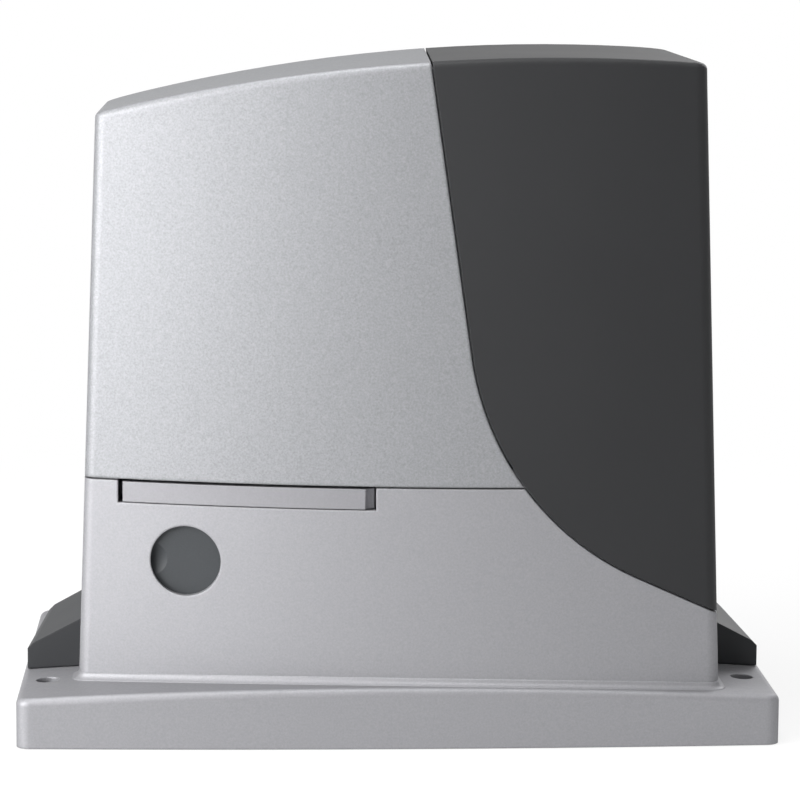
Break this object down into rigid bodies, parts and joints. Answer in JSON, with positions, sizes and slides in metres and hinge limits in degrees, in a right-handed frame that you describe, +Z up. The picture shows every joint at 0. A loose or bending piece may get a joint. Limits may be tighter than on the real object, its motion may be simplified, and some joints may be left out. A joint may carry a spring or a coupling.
{
  "type": "sliding gate motor",
  "caption": "Sliding gate motor with a silver front, a lift-off dark side cover, a release handle and lock, nut caps on the foot, and a rack pinion at the rear.",
  "frame": {"origin": "middle of the underside of the foot flange, on the foundation plane", "axes": "+Z up, +Y towards the gate where the pinion is, +X along the gate to the right seen from the front"},
  "size_m": [0.33, 0.217, 0.296],
  "materials": {
    "silver_casting": "fine metallic silver paint, satin",
    "silver_cover": "fine metallic silver paint on a moulded cover",
    "silver_handle": "fine metallic silver paint",
    "dark_cover": "satin moulded plastic, fine grain",
    "dark_plastic": "satin moulded plastic",
    "dark_shutter": "satin moulded plastic",
    "black_plastic": "moulded plastic",
    "grey_plastic": "moulded plastic",
    "terminal_plastic": "moulded terminal plastic",
    "button_plastic": "moulded plastic",
    "button_red": "moulded plastic",
    "black_parts": "moulded electronic parts",
    "circuit_green": "solder resist over glass fibre board",
    "transformer_tape": "clear amber film tape over copper wire",
    "black_rubber": "moulded rubber",
    "gasket": "pressed fibre sheet",
    "zinc_steel": "bright zinc plate",
    "bare_steel": "ground steel",
    "gear_steel": "machined steel teeth, oiled",
    "spring_steel": "drawn wire",
    "bearing_steel": "ground bearing steel",
    "lamination": "stacked sheet edges",
    "magnet": "sintered ferrite",
    "motor_paint": "black enamel",
    "raw_aluminium": "raw die casting",
    "bronze_wheel": "hobbed bronze",
    "brass_bush": "turned brass",
    "brass_lock": "turned brass",
    "zinc_lock": "zinc die casting",
    "copper_winding": "enamelled copper wire",
    "copper": "turned copper segments",
    "carbon": "pressed carbon"
  },
  "bodies": {
    "base": {"base_casting": "silver_casting", "board_components": "black_parts", "board_holder": "grey_plastic", "board_screws": "zinc_steel", "brush_ring": "black_plastic", "brushes": "carbon", "button_bases": "black_plastic", "cable_membrane": "black_rubber", "clutch_spring": "spring_steel", "control_board": "circuit_green", "encoder_cap": "black_plastic", "front_bearing": "bearing_steel", "front_cover": "silver_cover", "front_cover_screws": "zinc_steel", "gearbox_cover": "raw_aluminium", "gearbox_gasket": "gasket", "gearbox_screws": "zinc_steel", "levelling_screws": "zinc_steel", "limit_switch_body": "black_plastic", "lock_body": "zinc_lock", "lock_guide": "black_plastic", "motor_can": "motor_paint", "motor_end_bell": "raw_aluminium", "motor_flange": "raw_aluminium", "motor_magnets": "magnet", "motor_screws": "zinc_steel", "rear_bearing": "bearing_steel", "shaft_oil_seal": "black_rubber", "side_cover_screw": "zinc_steel", "terminal_blocks": "terminal_plastic", "transformer": "transformer_tape", "transformer_clamp": "zinc_steel", "worm_bearing_lower": "bearing_steel", "worm_bearing_upper": "bearing_steel"},
    "side_cover_body": {"side_cover": "dark_cover"},
    "left_cap": {"anchor_cap_left": "dark_plastic"},
    "right_cap": {"anchor_cap_right": "dark_plastic"},
    "handle": {"release_handle": "silver_handle", "release_cam": "zinc_steel"},
    "slide": {"release_slide": "zinc_steel"},
    "shutter": {"lock_shutter": "dark_shutter"},
    "lock_barrel": {"lock_cylinder": "brass_lock"},
    "output": {"output_shaft": "bare_steel", "pinion": "gear_steel", "pinion_key": "bare_steel", "pinion_bolt": "zinc_steel"},
    "clutch": {"clutch_dog": "bare_steel", "clutch_cross_pin": "bare_steel", "release_rod": "bare_steel"},
    "wheel": {"worm_wheel": "bronze_wheel", "wheel_bush": "brass_bush"},
    "armature": {"worm": "bare_steel", "rotor_stack": "lamination", "rotor_windings": "copper_winding", "commutator": "copper", "encoder_disc": "bare_steel"},
    "lever": {"limit_lever": "spring_steel"},
    "open_button": {"button_open": "button_plastic"},
    "stop_button": {"button_stop": "button_red"},
    "close_button": {"button_close": "button_plastic"}
  },
  "joints": [
    {"name": "side_cover_lift", "type": "slide", "parent": "base", "child": "side_cover_body", "axis": [0, 0, 1], "range_m": [0, 0.25]},
    {"name": "left_cap_lift", "type": "slide", "parent": "base", "child": "left_cap", "axis": [0, 0, 1], "range_m": [0, 0.03]},
    {"name": "right_cap_lift", "type": "slide", "parent": "base", "child": "right_cap", "axis": [0, 0, 1], "range_m": [0, 0.03]},
    {"name": "release_handle_swing", "type": "hinge", "parent": "base", "child": "handle", "pos_m": [-0.1135, -0.0585, 0.105], "axis": [0, 0, -1], "range_deg": [0, 85]},
    {"name": "release_slide_move", "type": "slide", "parent": "base", "child": "slide", "axis": [1, 0, 0], "range_m": [0, 0.0136]},
    {"name": "clutch_release", "type": "slide", "parent": "output", "child": "clutch", "axis": [0, 1, 0], "range_m": [0, 0.00405], "deforming": ["clutch_spring"]},
    {"name": "lock_shutter_slide", "type": "slide", "parent": "base", "child": "shutter", "axis": [0.9774, -0.2113, 0], "range_m": [0, 0.033]},
    {"name": "lock_turn", "type": "hinge", "parent": "base", "child": "lock_barrel", "pos_m": [-0.0925, -0.07018, 0.0777], "axis": [0.2113, 0.9774, 0], "range_deg": [0, 90]},
    {"name": "worm_wheel_spin", "type": "hinge", "parent": "base", "child": "wheel", "pos_m": [0, 0.03, 0.08], "axis": [0, 1, 0], "continuous": true},
    {"name": "output_spin", "type": "hinge", "parent": "base", "child": "output", "pos_m": [0, 0.1, 0.08], "axis": [0, 1, 0], "continuous": true},
    {"name": "armature_spin", "type": "hinge", "parent": "base", "child": "armature", "pos_m": [-0.06, 0.03, 0.12], "axis": [0, 0, -1], "continuous": true},
    {"name": "limit_lever_tilt", "type": "hinge", "parent": "base", "child": "lever", "pos_m": [0, 0.092, 0.13], "axis": [0, 1, 0], "range_deg": [-35, 35], "stiffness_Nm_per_rad": 0.15},
    {"name": "open_button_press", "type": "slide", "parent": "base", "child": "open_button", "axis": [0, 1, 0], "range_m": [0, 0.0003], "stiffness_N_per_m": 2000},
    {"name": "stop_button_press", "type": "slide", "parent": "base", "child": "stop_button", "axis": [0, 1, 0], "range_m": [0, 0.0003], "stiffness_N_per_m": 2000},
    {"name": "close_button_press", "type": "slide", "parent": "base", "child": "close_button", "axis": [0, 1, 0], "range_m": [0, 0.0003], "stiffness_N_per_m": 2000}
  ],
  "couplings": [
    {"joint": "release_slide_move", "follows": "release_handle_swing", "m_per_rad": 0.0090999},
    {"joint": "clutch_release", "follows": "release_handle_swing", "m_per_rad": 0.0026963},
    {"joint": "output_spin", "follows": "worm_wheel_spin", "ratio": 1},
    {"joint": "armature_spin", "follows": "worm_wheel_spin", "ratio": 50}
  ]
}
